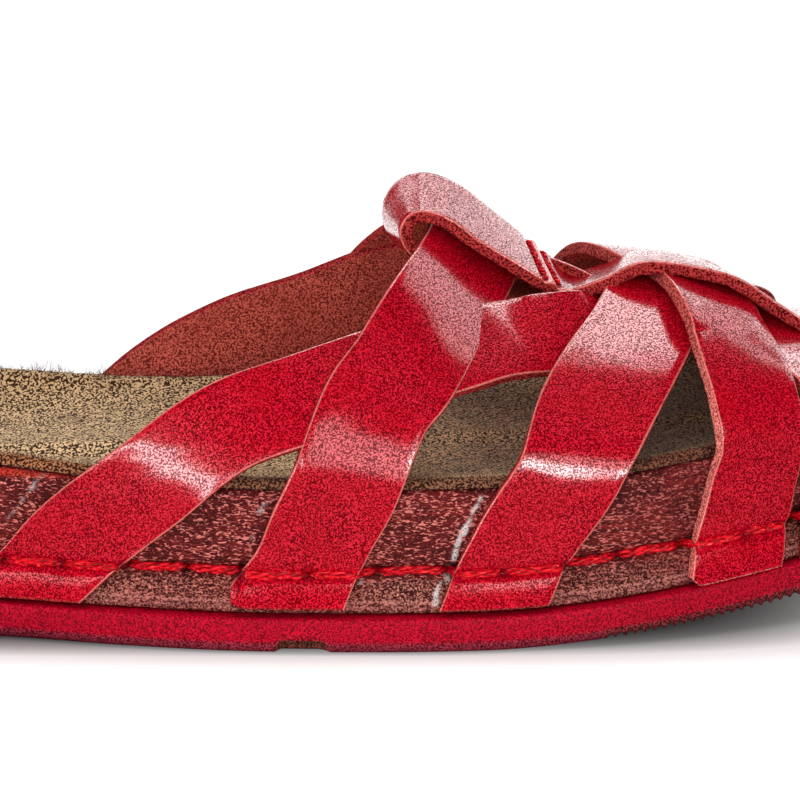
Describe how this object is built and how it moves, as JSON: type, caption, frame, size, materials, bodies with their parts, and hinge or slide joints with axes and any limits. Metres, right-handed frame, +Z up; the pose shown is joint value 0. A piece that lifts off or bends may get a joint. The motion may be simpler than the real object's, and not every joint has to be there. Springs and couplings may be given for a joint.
{
  "type": "woven leather slide sandal",
  "caption": "Flat slide sandal, right foot: interlaced leather straps with a looped centre strap over a thick cupped footbed and a rubber outsole with toe spring.",
  "frame": {"origin": "centre of the outsole's length and width, on the floor plane under the flat heel and forefoot", "axes": "+X to the toe, +Y to the inner (big toe) side, -Y to the outer side, +Z up"},
  "size_m": [0.252, 0.0914, 0.077],
  "materials": {
    "outsole": "satin",
    "midsole": "rough",
    "insole": "suede",
    "upper": "polished"
  },
  "bodies": {
    "root": {"outsole": "outsole", "midsole": "midsole", "insole": "insole", "upper": "upper"}
  },
  "joints": []
}
